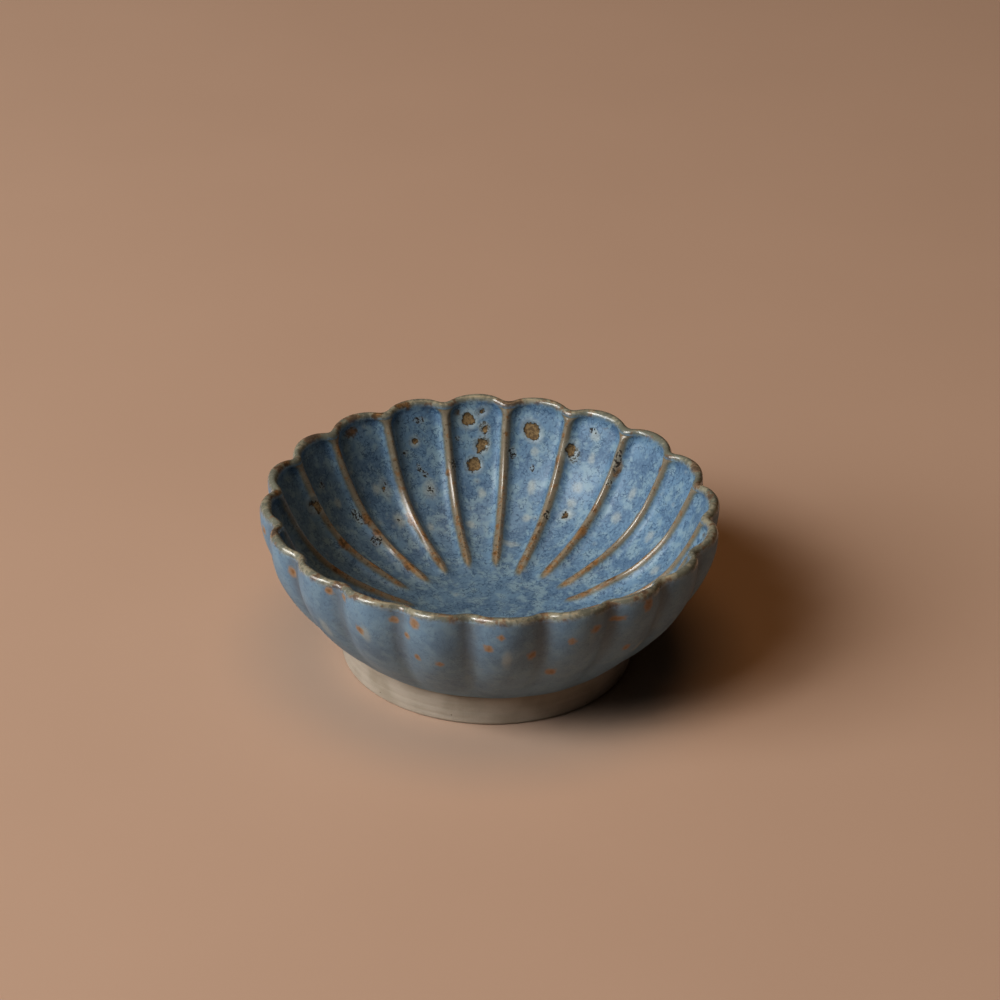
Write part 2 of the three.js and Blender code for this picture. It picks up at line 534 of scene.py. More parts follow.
    def _pinholes(self, on: Ground, colour: Wire) -> tuple[Wire, Wire]:
        """Add dark pinholes, crowded where the mesh says so, and a few lone ones in a pale ring.

        Args:
            on: What all layers read.
            colour: The colour so far.

        Returns:
            The new colour, and where the pinholes are.
        """
        bench = on.bench
        crowd = bench.rise(bench.field("pits") + on.wobble * 0.6, Ramp(0.05, 0.40))
        gap, own = bench.dots(self.hole_gap, shift=23.0)
        lone = (own - self.hole_share) * 0.7
        single = bench.rise(gap + on.wobble * 0.25 - lone, Ramp(0.05, -0.04)) * on.inside
        ring = bench.rise(gap + on.wobble * 0.5 - lone, Ramp(0.85, 0.10))
        ring = ring * bench.rise(own, Ramp(self.hole_share, self.hole_share + 0.06)) * on.inside
        strokes = bench.rise(bench.vein(self.stroke), Ramp(0.16, 0.08))
        strokes = strokes * bench.rise(bench.noise(self.stroke_patch), Ramp(0.47, 0.53)) * crowd
        holes = bench.maths("MAXIMUM", single, strokes)
        colour = bench.mix(colour, self.cloud, bench.maths("MAXIMUM", ring, crowd) * 0.30)
        return bench.mix(colour, self.iron, holes * 0.92), holes

    def _crawled(self, on: Ground, colour: Wire) -> tuple[Wire, Wire]:
        """Show bare clay with a ragged dark outline where the glaze has crawled away.

        Args:
            on: What all layers read.
            colour: The colour so far.

        Returns:
            The new colour, and where the clay is bare.
        """
        bench = on.bench
        bare = bench.field("bare")
        rag = bench.swing(self.rag)
        ragged = bare + bench.swing(self.lump) * 1.9 + rag * 1.3 - 0.12
        colour = bench.lay(colour, self.cloud, bare, Ramp(-1.2, -0.1, 0.34))
        crawled = bench.rise(ragged, Ramp(-0.05, 0.08))
        outline = bench.rise(bench.maths("ABSOLUTE", ragged - 0.05), Ramp(0.20, 0.04, 0.85))
        outline = outline * bench.rise(bench.noise(self.outline_patch), Ramp(0.38, 0.52))
        flecks = bench.rise(on.fleck + rag * 0.7, Ramp(0.44, 0.60, 0.75))
        colour = bench.mix(colour, bench.mix(self.bare, self.brown, flecks), crawled)
        return bench.mix(colour, self.iron, outline), crawled


@dataclass(frozen=True)
class BareStoneware:
    """Matte fired clay with fine sand, faint wheel lines and a few iron specks."""

    name: str
    body: Colour
    shade: Colour
    iron: Colour = (0.085, 0.055, 0.035)
    sand: Grain = Grain(0.28, roughness=0.7)
    drift: Grain = Grain(6.0)
    line: Grain = Grain(0.7, detail=2.0, shift=7.0, stretch=(0.06, 0.06, 1.0))
    speck_gap: float = 1.9  # between iron specks, before most are left out, millimetres
    speck_share: float = 0.78  # the part of them that is left out
    dull: float = 0.82  # roughness of the smoothest places
    relief: float = 0.10 * MM  # depth of its fine relief

    def material(self) -> bpy.types.Material:
        """Build the material.

        Returns:
            The material of the clay.
        """
        bench = Bench(self.name)
        sand = bench.noise(self.sand)
        lines = bench.noise(self.line)
        tone = bench.rise(bench.noise(self.drift) + (lines - 0.5) * 0.25, Ramp(0.26, 0.62))
        colour = bench.mix(self.shade, self.body, tone)
        colour = bench.lay(colour, self.shade, sand, Ramp(0.54, 0.72, 0.30))
        gap, own = bench.dots(self.speck_gap, shift=5.0)
        specks = bench.rise(gap - (own - self.speck_share) * 0.6, Ramp(0.05, -0.03))
        return bench.finish(
            {
                "Base Color": bench.mix(colour, self.iron, specks * 0.8),
                "Roughness": self.dull + 0.12 * sand,
                "IOR": 1.45,
                "Normal": bench.relief(sand * 0.6 + lines * 0.4 - specks * 0.3, self.relief),
            }
        )


@dataclass(frozen=True)
class PlainPaper:
    """Pale, plain, matte paper to stand things on."""

    tone: Colour = (0.560, 0.408, 0.312)
    pale: Colour = (0.590, 0.432, 0.332)
    cloud: Grain = Grain(60.0, detail=2.0)

    def material(self) -> bpy.types.Material:
        """Build the material.

        Returns:
            The material of the paper.
        """
        bench = Bench("plain_paper")
        colour = bench.mix(self.tone, self.pale, bench.noise(self.cloud))
        return bench.finish({"Base Color": colour, "Roughness": 0.9})


class Mark(Enum):
    """What a firing left on the glaze, by the name that the mesh holds it under."""

    BARE = "bare"
    PITS = "pits"
    RUST = "rust"
    PALE = "pale"


class Side(Enum):
    """The face of the bowl that a mark is on."""

    WELL = "well"
    OUTSIDE = "outside"


@dataclass(frozen=True)
class Spot:
    """One mark on the glaze, about as wide and as long as given."""

    mark: Mark
    side: Side
    petal: float  # a half is the ridge after that petal
    place: float  # from the axis in the well, and over the table outside
    wide: float
    long: float
    lean: float = 0.0  # turn of its long way from upright, degrees


def marks(mark: Mark, side: Side, *rows: tuple[float, ...]) -> list[Spot]:
    """Write several marks of one kind down.

    Args:
        mark: Their kind.
        side: The face that they are on.
        rows: Petal, place, width, length and lean of each, lengths in millimetres.

    Returns:
        The marks.
    """
    spots = []
    for petal, place, wide, long, *lean in rows:
        spots.append(Spot(mark, side, petal, place * MM, wide * MM, long * MM, *lean))
    return spots


SPOTS = [
    *marks(
        Mark.BARE, Side.WELL,
        (5.10, 41.5, 2.8, 3.0), (4.90, 42.1, 1.9, 1.2, 40), (4.91, 39.1, 2.4, 2.9, -20),
        (4.86, 40.5, 1.3, 1.6), (5.04, 37.0, 2.9, 2.8, 30), (4.09, 40.7, 3.1, 4.2, 40),
        (3.36, 39.4, 1.9, 2.9), (6.04, 40.0, 1.2, 1.3), (6.78, 35.9, 0.9, 1.9),
        (3.09, 31.7, 1.7, 1.1, 30), (8.55, 37.3, 2.2, 3.0),
    ),
    *marks(
        Mark.PITS, Side.WELL,
        (4.37, 38.1, 1.5, 2.3), (3.06, 41.8, 1.6, 1.1), (5.88, 41.8, 2.1, 1.3),
        (6.02, 37.3, 1.0, 1.6), (5.96, 36.6, 1.0, 1.4), (5.91, 34.3, 1.4, 1.4),
        (7.66, 28.8, 2.0, 2.0), (7.66, 33.8, 1.4, 3.2), (5.41, 36.1, 1.0, 2.4),
        (2.44, 38.8, 1.1, 4.2), (3.45, 29.7, 1.2, 1.6), (8.04, 39.2, 1.2, 1.6),
        (4.02, 37.1, 0.9, 1.4), (6.21, 39.0, 0.9, 1.0), (6.80, 30.7, 0.8, 0.9),
        (4.87, 40.8, 2.2, 2.0), (4.86, 39.2, 2.4, 3.0), (3.32, 39.2, 2.4, 3.2),
        (2.45, 36.5, 1.0, 1.2), (5.29, 39.9, 0.9, 0.9),
    ),
    *marks(
        Mark.PALE, Side.WELL,
        (5.91, 34.1, 3.8, 5.6), (6.80, 30.8, 3.4, 4.4), (3.99, 39.0, 2.2, 2.8),
        (3.96, 34.7, 2.4, 4.4), (3.04, 41.4, 3.2, 2.6), (3.00, 39.4, 2.2, 2.4),
        (3.08, 36.0, 3.2, 3.2), (3.07, 33.7, 2.8, 3.0), (2.05, 34.3, 3.0, 3.2),
        (4.20, 22.9, 5.6, 2.0), (4.90, 33.1, 2.2, 2.8), (5.20, 27.3, 2.8, 2.2),
        (6.95, 36.3, 2.4, 3.2), (7.90, 36.8, 2.4, 2.8), (2.00, 37.9, 2.2, 3.6),
        (6.15, 27.8, 2.4, 2.4), (1.05, 35.1, 2.8, 3.6), (3.90, 29.2, 2.4, 2.2),
        (0.10, 33.1, 2.8, 3.6), (19.2, 31.2, 2.8, 3.2), (3.10, 31.7, 3.0, 2.8),
        (6.04, 39.9, 2.6, 2.6), (11.1, 34.6, 2.8, 4.0), (12.9, 33.1, 3.0, 3.6),
        (14.1, 35.6, 2.8, 4.2), (16.0, 33.1, 3.2, 3.6), (17.9, 36.1, 2.6, 3.6),
        (9.40, 24.3, 3.6, 2.2), (15.2, 25.3, 3.2, 2.8),
    ),
    *marks(
        Mark.RUST, Side.WELL,
        (5.53, 35.1, 1.1, 1.6), (6.56, 29.2, 1.5, 3.6), (6.50, 24.5, 1.2, 3.0),
        (7.55, 32.0, 1.4, 3.0), (7.57, 29.2, 1.4, 2.2), (7.50, 40.0, 1.8, 4.2),
        (8.56, 31.2, 1.5, 3.2), (6.61, 43.6, 2.6, 1.4), (6.20, 43.6, 2.4, 1.4),
        (8.70, 43.6, 2.6, 1.5), (9.60, 43.4, 2.4, 1.8), (8.36, 40.2, 1.2, 2.6),
        (3.53, 39.6, 0.9, 1.1), (3.55, 37.2, 1.2, 2.6), (3.53, 27.0, 1.1, 1.3),
        (3.51, 24.2, 1.2, 1.6), (2.46, 28.6, 1.8, 2.6), (2.50, 32.8, 1.3, 1.9),
        (2.42, 38.6, 1.3, 4.6), (1.62, 40.9, 1.2, 1.6), (1.54, 37.3, 1.3, 2.4),
        (1.60, 35.3, 1.3, 2.0), (1.60, 28.5, 1.2, 1.8), (1.47, 25.0, 1.1, 1.3),
        (1.45, 23.2, 1.1, 1.3), (2.50, 18.9, 1.2, 1.8), (0.50, 25.3, 1.3, 2.6),
        (0.60, 17.0, 1.0, 2.2), (19.8, 37.3, 1.3, 1.8), (4.54, 25.7, 0.9, 1.0),
        (4.53, 19.3, 1.0, 1.4), (4.50, 38.8, 0.9, 1.0), (7.60, 20.8, 1.5, 3.0),
        (6.55, 19.4, 1.2, 2.0), (8.50, 24.6, 1.3, 3.0), (10.5, 33.1, 1.3, 2.6),
        (11.5, 27.3, 1.3, 2.2), (12.5, 36.1, 1.3, 2.6), (13.5, 24.3, 1.2, 2.4),
        (14.5, 31.2, 1.3, 2.4), (15.5, 38.5, 1.3, 2.2), (16.5, 27.7, 1.3, 2.4),
        (17.5, 34.1, 1.3, 2.4), (18.5, 29.2, 1.3, 2.4), (9.50, 30.2, 1.4, 2.6),
        (7.10, 42.3, 3.4, 2.2), (6.08, 42.9, 1.6, 2.4), (7.44, 41.0, 1.6, 3.0),
    ),
    *marks(
        Mark.RUST, Side.OUTSIDE,
        (11.41, 28.8, 2.2, 2.5), (12.33, 31.2, 1.8, 2.1), (12.60, 30.9, 1.8, 1.5),
        (13.41, 30.1, 2.0, 1.8), (13.75, 30.8, 2.2, 2.8), (13.62, 27.1, 1.5, 1.7),
        (13.73, 22.0, 1.5, 2.2), (14.74, 26.8, 2.1, 2.1), (12.89, 25.7, 2.1, 2.5),
        (14.08, 21.7, 1.8, 1.8), (14.89, 30.0, 1.7, 1.5), (15.36, 24.5, 2.1, 2.7),
        (15.87, 27.2, 1.8, 2.0), (15.70, 18.8, 2.4, 2.7), (17.04, 31.0, 2.7, 3.4),
        (16.23, 29.4, 2.7, 2.0), (16.88, 21.1, 1.8, 2.1), (16.59, 29.6, 3.9, 1.3),
        (18.2, 26.0, 2.4, 2.8), (19.3, 29.8, 2.1, 2.4), (0.10, 23.0, 2.1, 2.4),
        (1.20, 28.8, 2.2, 2.5), (2.05, 19.2, 2.1, 2.2), (2.90, 30.6, 2.2, 2.0),
        (4.10, 25.4, 2.0, 2.2), (5.30, 30.0, 2.4, 2.2), (6.15, 21.2, 2.1, 2.5),
        (7.20, 27.8, 2.1, 2.1), (8.05, 30.6, 2.2, 2.0), (9.10, 24.2, 2.0, 2.2),
        (10.2, 29.4, 2.1, 2.2), (11.0, 19.8, 2.0, 2.1),
    ),
    *marks(
        Mark.PALE, Side.OUTSIDE,
        (12.1, 21.0, 3.0, 6.0), (13.0, 25.0, 3.0, 6.0), (15.0, 24.0, 2.6, 7.0),
        (17.2, 19.0, 3.0, 5.0), (1.00, 21.0, 3.0, 6.0), (3.10, 25.0, 3.0, 5.0),
        (6.90, 23.0, 3.0, 6.0), (9.00, 18.0, 3.0, 5.0),
    ),
]


@dataclass(frozen=True)
class BowlShape:
    """The bowl's surface as a formula, of the same sizes as the solids."""

    rim_radius: float
    height: float
    foot_height: float
    foot_radius: float
    recess_depth: float
    foot_width: float = 5.2 * MM
    glaze: float = 0.45 * MM
    hairline: float = 0.03 * MM
    floor_thickness: float = 2.6 * MM
    rim_thickness: float = 2.7 * MM
    rim_rounding: float = 1.3 * MM
    well_spread: float = 35.2 * MM
    wall_lean: float = 5.6 * MM
    wall_rise: float = 10.6 * MM
    outside_fullness: float = 2.0
    notch_depth: float = 1.9 * MM
    notch_drop: float = 0.6 * MM
    notch_power: float = 1.9
    notch_rounding: float = 0.7
    groove_fade: float = 2.0  # power by which the grooves fade towards the foot
    ridge_full: float = 26.0 * MM  # axis to where the ridges have their full height
    ridge_flare: float = 8.0  # power by which the ridges widen into the band
    scoop_height: float = 0.14 * MM
    rib_height: float = 1.28 * MM
    rib_width: float = 0.86 * MM
    flank: float = 2.4 * MM  # width of the rise from a hollow's floor to the ridge
    flank_top: float = 3.4 * MM  # the same at the arch
    band_height: float = 0.80 * MM  # band inside the rim, over the hollow of a petal
    band_notch: float = 1.4 * MM  # how much further in the band reaches at a notch
    band_rounding: float = 0.5
    arch_gap: float = -1.2 * MM  # shoulder down to the end of a hollow, below 0 for upwards
    arch_corner: float = 3.9 * MM  # radius of the hollow's two upper corners
    bowing: float = 0.22 * MM  # slow hollow across the whole petal
    bead: float = 0.5 * MM  # height of the rounding at the glaze's lower end
    swelling: float = 0.12 * MM
    swelling_height: float = 1.0 * MM  # over the glaze line
    swelling_width: float = 0.8 * MM

    @classmethod
    def from_frame(cls) -> "BowlShape":
        """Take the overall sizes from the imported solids."""
        low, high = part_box("glaze_coat")
        foot_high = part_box("foot_ring")[1]
        return cls(
            rim_radius=high.x,
            height=high.z,
            foot_height=low.z,
            foot_radius=foot_high.x,
            recess_depth=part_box("clay_bowl")[0].z,
        )

    @property
    def floor_top(self) -> float:
        """Height of the middle of the well."""
        return self.recess_depth + self.floor_thickness

    @property
    def shoulder(self) -> float:
        """Height where the rim's rounding begins."""
        return self.height - self.rim_rounding

    @property
    def well_radius(self) -> float:
        """Axis to the bottom of a petal's hollow, drawn on to the shoulder."""
        return self.rim_radius - self.rim_thickness + self.band_height

    @property
    def glaze_line_radius(self) -> float:
        """Axis to the outside of the glaze at its lower end."""
        return self.foot_radius + self.hairline + self.glaze

    def petal_line(self, share: Array) -> tuple[Array, Array, Array, Array]:
        """Middle line of a petal's inside, from the floor's middle to the shoulder.

        Args:
            share: Part of the way.

        Returns:
            Radius and height of each point, and how much the line runs out and rises there.
        """
        reach = (0.0, self.well_spread, self.well_radius - self.wall_lean, self.well_radius)
        level = (self.floor_top, self.floor_top, self.shoulder - self.wall_rise, self.shoulder)
        rest = 1.0 - share
        weights = (rest**3, 3 * rest**2 * share, 3 * rest * share**2, share**3)
        slopes = (rest**2, 2 * rest * share, share**2)
        radius = sum(weight * value for weight, value in zip(weights, reach))
        height = sum(weight * value for weight, value in zip(weights, level))
        run = sum(slope * step for slope, step in zip(slopes, np.diff(reach)))
        rise = sum(slope * step for slope, step in zip(slopes, np.diff(level)))
        length = np.hypot(run, rise)
        return radius, height, run / length, rise / length

    def well_shares(self, rows: int, crowding: float) -> tuple[Array, Array]:
        """Spread rows over the petal's line, from the middle of the floor to the shoulder.

        Args:
            rows: How many steps there are.
            crowding: How much closer the rows lie towards the shoulder, 1 for even.

        Returns:
            The share of each row, and how far below the shoulder it lies along the line.
        """
        dense = np.linspace(0.0, 1.0, 2001)
        radius, height, _, _ = self.petal_line(dense)
        length = np.concatenate(([0.0], np.cumsum(np.hypot(np.diff(radius), np.diff(height)))))
        below = length[-1] * (1.0 - np.linspace(0.0, 1.0, rows + 1)) ** crowding
        return np.interp(length[-1] - below, length, dense), below

    def inside_edge(self, sideways: Array, below: Array) -> Array:
        """How far inside a petal's hollow a point is, from the ridge beside it or the arch over it.

        Args:
            sideways: Distance from the middle of the ridge.
            below: Distance below the shoulder, along the wall.

        Returns:
            The distance, at most the radius of the hollow's corners, and negative on the band.
        """
        corner = self.arch_corner
        across = np.clip(corner - sideways, 0.0, None)
        upward = np.clip(corner - (below - self.arch_gap), 0.0, None)
        return corner - np.hypot(across, upward)


class HandMarks:
    """What makes one hand-made dish differ from its formula: no two petals are quite alike."""

    spread = math.radians(0.35)  # scatter of the ridges round the dish
    sway = 0.16 * MM  # how far a ridge wanders sideways
    start = 14.5 * MM  # axis to where the ridges begin, on average
    start_scatter = 1.6 * MM
    strength_scatter = 0.10
    rim_scatter = 0.12 * MM
    oval = 0.0015  # how much the rim is longer along Y
    lift = 0.05 * MM  # how much the rim is higher at the back
    ripple = 0.045 * MM
    glaze_line_sway = 0.22 * MM

    def __init__(self) -> None:
        """Draw every scattered value once, from a fixed seed."""
        draw = np.random.default_rng(SEED)
        self.turn = self.spread * draw.uniform(-1.0, 1.0, PETALS)
        self.begin = self.start + self.start_scatter * draw.uniform(-1.0, 1.0, PETALS)
        self.strength = 1.0 + self.strength_scatter * draw.uniform(-1.0, 1.0, PETALS)
        self.sway_phase = draw.uniform(0.0, 2.0 * math.pi, PETALS)
        self.petal_reach = self.rim_scatter * draw.uniform(-1.0, 0.6, PETALS)
        self.petal_lift = self.rim_scatter * draw.uniform(-1.0, 0.6, PETALS)
        self.waves = draw.normal(size=(14, 3))
        self.wave_phase = draw.uniform(0.0, 2.0 * math.pi, 14)
        self.line_phase = draw.uniform(0.0, 2.0 * math.pi, 5)

    def glaze_line(self, angle: Array) -> Array:
        """How far the glaze's lower edge lies above its level, round the dish."""
        counts = (2, 3, 5, 9, 14)
        total = sum(np.sin(count * angle + phase) for count, phase in zip(counts, self.line_phase))
        return self.glaze_line_sway * total / len(counts)

    def rippled(self, points: Array, size: float) -> Array:
        """Soft unevenness of a surface.

        Args:
            points: Where it is looked at.
            size: Length of its waves.

        Returns:
            Its height at each point.
        """
        total = np.zeros(points.shape[:-1])
        for wave, phase in zip(self.waves, self.wave_phase):
            total += np.sin(points @ (wave * 2.0 * math.pi / size / math.sqrt(3.0)) + phase)
        return self.ripple * total / math.sqrt(len(self.waves))

    def settled(self, points: Array, height: float) -> Array:
        """Bend the true form a little out of round and out of level, most at the rim.

        Args:
            points: Points of the true form.
            height: Height of the rim.

        Returns:
            The points of the bent form.
        """
        share = np.clip(points[..., 2] / height, 0.0, 1.05) ** 2
        angle = np.arctan2(points[..., 1], points[..., 0])
        stretch = 1.0 - share * self.oval * (np.cos(2.0 * angle) + 0.5)
        lift = share * self.lift * (0.5 + 0.5 * np.sin(angle)) ** 2
        bent = points.copy()
        bent[..., 0] *= stretch
        bent[..., 1] *= stretch
        bent[..., 2] += lift
        return bent


@dataclass
class Skin:
    """The glazed surface as a grid of points: rows along the section, columns round the dish."""

    points: Array
    thin: Array
    rim: Array
    groove: Array
    inside: Array


class Bowl:
    """Works the bowl's surface out, row by row, for the glaze and the clay alike."""

    columns_per_petal = 32
    crowding = 0.4  # columns lie closer towards the ridges
    well_rows = 108
    row_crowding = 1.4  # rows lie closer towards the rim
    rim_rows = 12
    outside_rows = 44
    ridge_before = 1.0 * MM  # how far before its start a ridge begins to show
    ridge_after = 5.0 * MM  # how far after its start its crest is whole
    ridge_in_band = 0.62  # how closely the inner edge of the band follows the crest
    rib_reach = 1.04 * MM  # half width of the thin glaze on a ridge
    rib_end = 0.5 * MM  # how much further up than the hollow the thin glaze goes
    rim_inward = 1.75 * MM  # half width of the thin glaze on the rim, to the inside
    rim_outward = 1.8 * MM  # the same to the outside
    sway_turns = 0.8  # waves of a swaying ridge, from the floor to the rim
    sway_radius = 8.0 * MM  # inside this the sway shrinks towards the axis
    line_fade = 3.0 * MM  # height over which the waves of the glaze line fade
    ripple_size = 9.0 * MM
    even_edge = 1.0 * MM  # height of the glaze's lower end that has no ripples

    def __init__(self, shape: BowlShape, hand: HandMarks) -> None:
        """Lay the columns out."""
        self.shape = shape
        self.hand = hand
        steps = np.arange(self.columns_per_petal * PETALS)
        across = 2.0 * (steps % self.columns_per_petal) / self.columns_per_petal - 1.0
        across = across + self.crowding * np.sin(math.pi * across) / math.pi
        petal = steps // self.columns_per_petal
        before, after = (petal - 1) % PETALS, petal
        self.off = np.abs(across)
        self.notch = np.where(across < 0.0, before, after)
        self.petal = petal
        self.angle = (petal + across / 2.0) * 2.0 * math.pi / PETALS
        share = (across + 1.0) / 2.0
        self.turn = blended(hand.turn[before], hand.turn[after], share)
        self.before, self.after, self.share = before, after, share

    def _well(self) -> tuple[Array, Array, Array]:
        """Inside of the well.

        Returns:
            Radius, height and how much of a ridge's crest there is, as rows and columns.
        """
        shape, hand = self.shape, self.hand
        share, below = (row[:, None] for row in shape.well_shares(self.well_rows, self.row_crowding))
        radius, height, run, rise = shape.petal_line(share)
        half = math.pi / PETALS * radius
        sideways = (1.0 - self.off) * half
        edge = shape.inside_edge(sideways, below)
        start = hand.begin[self.notch]
        grown = smoothstep(radius, start, shape.ridge_full)
        early = smoothstep(radius, start - self.ridge_before, start + self.ridge_after)
        flare = share**shape.ridge_flare
        flank = blended(shape.flank, shape.flank_top, flare)
        across = np.clip(edge / np.maximum(np.minimum(half, flank), 0.1 * MM), 0.0, 1.0)
        scoop = (1.0 + np.cos(math.pi * across)) / 2.0
        ridge = np.exp(-0.5 * (np.clip(edge, 0.0, None) / shape.rib_width) ** 2)
        rib = shape.rib_height * hand.strength[self.notch] * blended(early, grown, 0.5)
        band = scallop(self.off, shape.notch_power, shape.band_rounding)
        band = (shape.band_height + shape.band_notch * band) / np.maximum(rise, 0.05)
        low = grown * (shape.scoop_height * scoop + shape.bowing * self.off**2) + rib * ridge
        lifted = blended(low, band * blended(scoop, ridge, self.ridge_in_band), flare)
        drop = shape.notch_drop * scallop(self.off, shape.notch_power, shape.notch_rounding) * flare
        side_edge = shape.inside_edge(sideways, below + self.rib_end)
        crest = early * np.exp(-((np.clip(side_edge, 0.0, None) / self.rib_reach) ** 2))
        return radius - rise * lifted, height + run * lifted * (1.0 - flare) - drop, crest

    def _outside(self) -> tuple[Array, Array, Array]:
        """Outside of the bowl, from the rim's shoulder down to the glaze line.

        Returns:
            Radius, height and how deep in a groove each point is, as rows and columns.
        """
        shape = self.shape
        share = np.linspace(0.0, 1.0, self.outside_rows + 1)[:, None]
        belly = (shape.rim_radius - shape.glaze_line_radius) * (1.0 - share**shape.outside_fullness)
        depth = scallop(self.off, shape.notch_power, shape.notch_rounding)
        valley = (1.0 - share**shape.groove_fade) * depth
        height = blended(shape.shoulder - shape.notch_drop * depth, shape.foot_height, share)
        return shape.glaze_line_radius + belly - shape.notch_depth * valley, height, valley

    def _section(self) -> tuple[Array, Array, Array, Array, Array]:
        """The whole glazed surface, from the floor's middle over the rim to the glaze line.

        Returns:
            Radius, height, ridge crest, groove depth and nearness to the rim.
        """
        shape = self.shape
        well_radius, well_height, crest = self._well()
        outer_radius, outer_height, valley = self._outside()
        turn = (np.arange(1, self.rim_rows) / self.rim_rows * math.pi)[:, None]
        middle = (well_radius[-1] + outer_radius[0]) / 2.0
        reach = (outer_radius[0] - well_radius[-1]) / 2.0
        rim_radius = middle - reach * np.cos(turn)
        rim_height = outer_height[0] + shape.rim_rounding * np.sin(turn)
        radius = np.concatenate((well_radius, rim_radius, outer_radius))
        height = np.concatenate((well_height, rim_height, outer_height))
        steps = np.hypot(np.diff(radius, axis=0), np.diff(height, axis=0))
        along = np.concatenate((np.zeros((1, radius.shape[1])), np.cumsum(steps, axis=0)))
        beyond = along - along[self.well_rows + self.rim_rows // 2]
        rim = np.exp(-((beyond / np.where(beyond < 0.0, self.rim_inward, self.rim_outward)) ** 2))
        rows = len(radius)
        crest = np.pad(crest, ((0, rows - len(crest)), (0, 0)))
        valley = np.pad(valley, ((rows - len(valley), 0), (0, 0)))
        return radius, height, crest, valley, rim

    def _laid_out(self, radius: Array, height: Array) -> Array:
        """Turn radius and height into points, with the marks of the hand.

        Args:
            radius: Axis to each point.
            height: Table to each point.

        Returns:
            The points.
        """
        hand, shape = self.hand, self.shape
        high = np.clip((height - shape.floor_top) / (shape.height - shape.floor_top), 0.0, 1.0)
        phase = hand.sway_phase[self.notch]
        swaying = hand.sway * np.sin(high * 2.0 * math.pi * self.sway_turns + phase) * self.off**2
        angle = self.angle + self.turn + swaying / np.maximum(radius, self.sway_radius)
        swell = hand.petal_reach[self.petal % PETALS] * (1.0 - self.off**2)
        raise_by = hand.petal_lift[self.petal % PETALS] * (1.0 - self.off**2)
        radius = radius + swell * high**2
        height = height + raise_by * high**3
        points = np.stack((radius * np.cos(angle), radius * np.sin(angle), height), axis=-1)
        return hand.settled(points, shape.height)

    def skin(self) -> Skin:
        """The glazed surface, with its rounded, slightly swollen and wavy lower edge.

        Returns:
            The surface and what its material reads.
        """
        shape = self.shape
        radius, height, crest, valley, rim = self._section()
        over = height - shape.foot_height
        outer = (np.arange(len(radius)) >= self.well_rows + self.rim_rows)[:, None]
        swollen = np.exp(-(((over - shape.swelling_height) / shape.swelling_width) ** 2))
        arc = np.sqrt(np.clip(1.0 - (1.0 - over / shape.bead) ** 2, 0.0, 1.0))
        turned_in = np.where(over < shape.bead, shape.glaze * (1.0 - arc), 0.0)
        radius = radius + outer * (shape.swelling * swollen - turned_in)
        wave = self.hand.glaze_line(self.angle) * np.exp(-((over / self.line_fade) ** 2))
        points = self._laid_out(radius, height + outer * wave)
        uneven = self.hand.rippled(points, self.ripple_size) * (over > self.even_edge)
        points += normals(points) * uneven[..., None]
        return Skin(points, crest, rim, valley, 1.0 - outer * np.ones_like(rim))

    def sunk(self, depth: float) -> Array:
        """A surface below the glazed one, square to it.

        Args:
            depth: How far below.

        Returns:
            Its points. The last row lies level with the glaze line.
        """
        radius, height, _, _, _ = self._section()
        run = np.gradient(radius, axis=0)
        rise = np.gradient(height, axis=0)
        length = np.hypot(run, rise)
        level = height - run / length * depth
        inward = radius + rise / length * depth
        inward[0], level[0] = 0.0, height[0] - depth
        inward[-1], level[-1] = radius[-1] - depth, height[-1]
        return self._laid_out(inward, level)


def normals(points: Array) -> Array:
    """Outward direction at each point of a grid whose first row is the floor's middle.

    Args:
        points: The grid of points.

    Returns:
        The directions, of length 1.
    """
    along = np.gradient(points, axis=0)
    around = np.roll(points, -1, axis=1) - np.roll(points, 1, axis=1)
    outward = np.cross(along, around)
    outward[0] = (0.0, 0.0, 1.0)
    return outward / np.maximum(np.linalg.norm(outward, axis=-1, keepdims=True), 1e-12)


@dataclass
class Ring:
    """One closed ring of points, and what the material reads there."""

    points: Array
    fields: dict[str, Array]


def lathe(name: str, rings: list[Ring], looped: bool = False) -> bpy.types.Object:
    """Make a closed piece from rings that follow one another.

    Args:
        name: Name of the piece.
        rings: The rings. Each has as many points as the next, or twice or half as many.
        looped: Whether the last ring joins the first. Otherwise both end in a single point.

    Returns:
        The piece.
    """
    counts = [len(ring.points) for ring in rings]
    starts = np.cumsum([0, *counts])
    faces: list[tuple[int, ...]] = []
    pairs = list(zip(range(len(rings)), range(1, len(rings))))
    if looped:
        pairs.append((len(rings) - 1, 0))
    for first, second in pairs:
        faces += stitched(starts[first], counts[first], starts[second], counts[second])
    mesh = bpy.data.meshes.new(name)
    mesh.from_pydata(np.concatenate([ring.points for ring in rings]).tolist(), [], faces)
    mesh.polygons.foreach_set("use_smooth", [True] * len(mesh.polygons))
    for key in rings[0].fields:
        values = np.concatenate([ring.fields[key] for ring in rings]).astype("f")
        mesh.attributes.new(key, "FLOAT", "POINT").data.foreach_set("value", values)
    mesh.update()
    piece = bpy.data.objects.new(name, mesh)
    bpy.context.scene.collection.objects.link(piece)
    return piece


def stitched(first: int, few: int, second: int, many: int) -> list[tuple[int, ...]]:
    """Faces between two rings.

    Args:
        first: Number of the first ring's first point.
        few: How many points the first ring has.
        second: Number of the second ring's first point.
        many: How many points the second ring has.

    Returns:
        The faces, all the same way round.
    """
    if few > many:
        return [face[::-1] for face in stitched(second, many, first, few)]
    if few == 1:
        return [(first, second + j, second + (j + 1) % many) for j in range(many)]
    faces = []
    for j in range(few):
        here, there = first + j, first + (j + 1) % few
        if few == many:
            faces.append((here, second + j, second + (j + 1) % many, there))
            continue
        left, mid, right = (second + (2 * j + k) % many for k in range(3))
        faces += [(here, left, mid), (here, mid, there), (there, mid, right)]
    return faces


